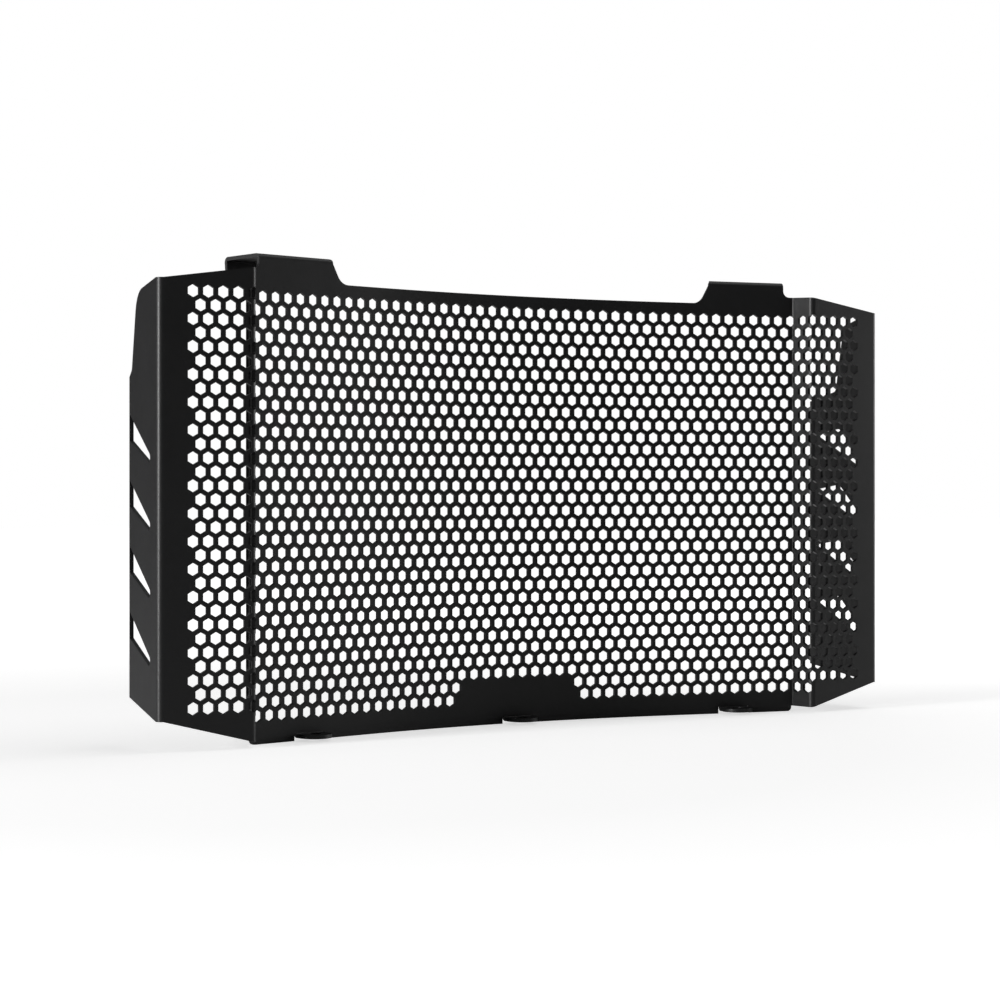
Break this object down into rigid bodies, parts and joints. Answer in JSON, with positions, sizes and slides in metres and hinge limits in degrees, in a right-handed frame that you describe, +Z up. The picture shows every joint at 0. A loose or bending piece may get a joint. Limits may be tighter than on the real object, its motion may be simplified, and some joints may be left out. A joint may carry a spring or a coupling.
{
  "type": "motorcycle radiator guard",
  "caption": "Folded aluminium radiator guard punched all over with hexagons, with a hollow-curved panel, stepped wings, slotted side flanges, top hooks and bottom screw tabs.",
  "frame": {"origin": "middle of the overall box at the height of the main panel's bottom edge", "axes": "+X to the rider's left as seen from the front, along the width; -Y to the front, away from the radiator; +Z up"},
  "size_m": [0.4584, 0.0576, 0.2525],
  "materials": {
    "powder_coat": "satin black powder coat"
  },
  "bodies": {
    "root": {"guard_sheet": "powder_coat"}
  },
  "joints": []
}
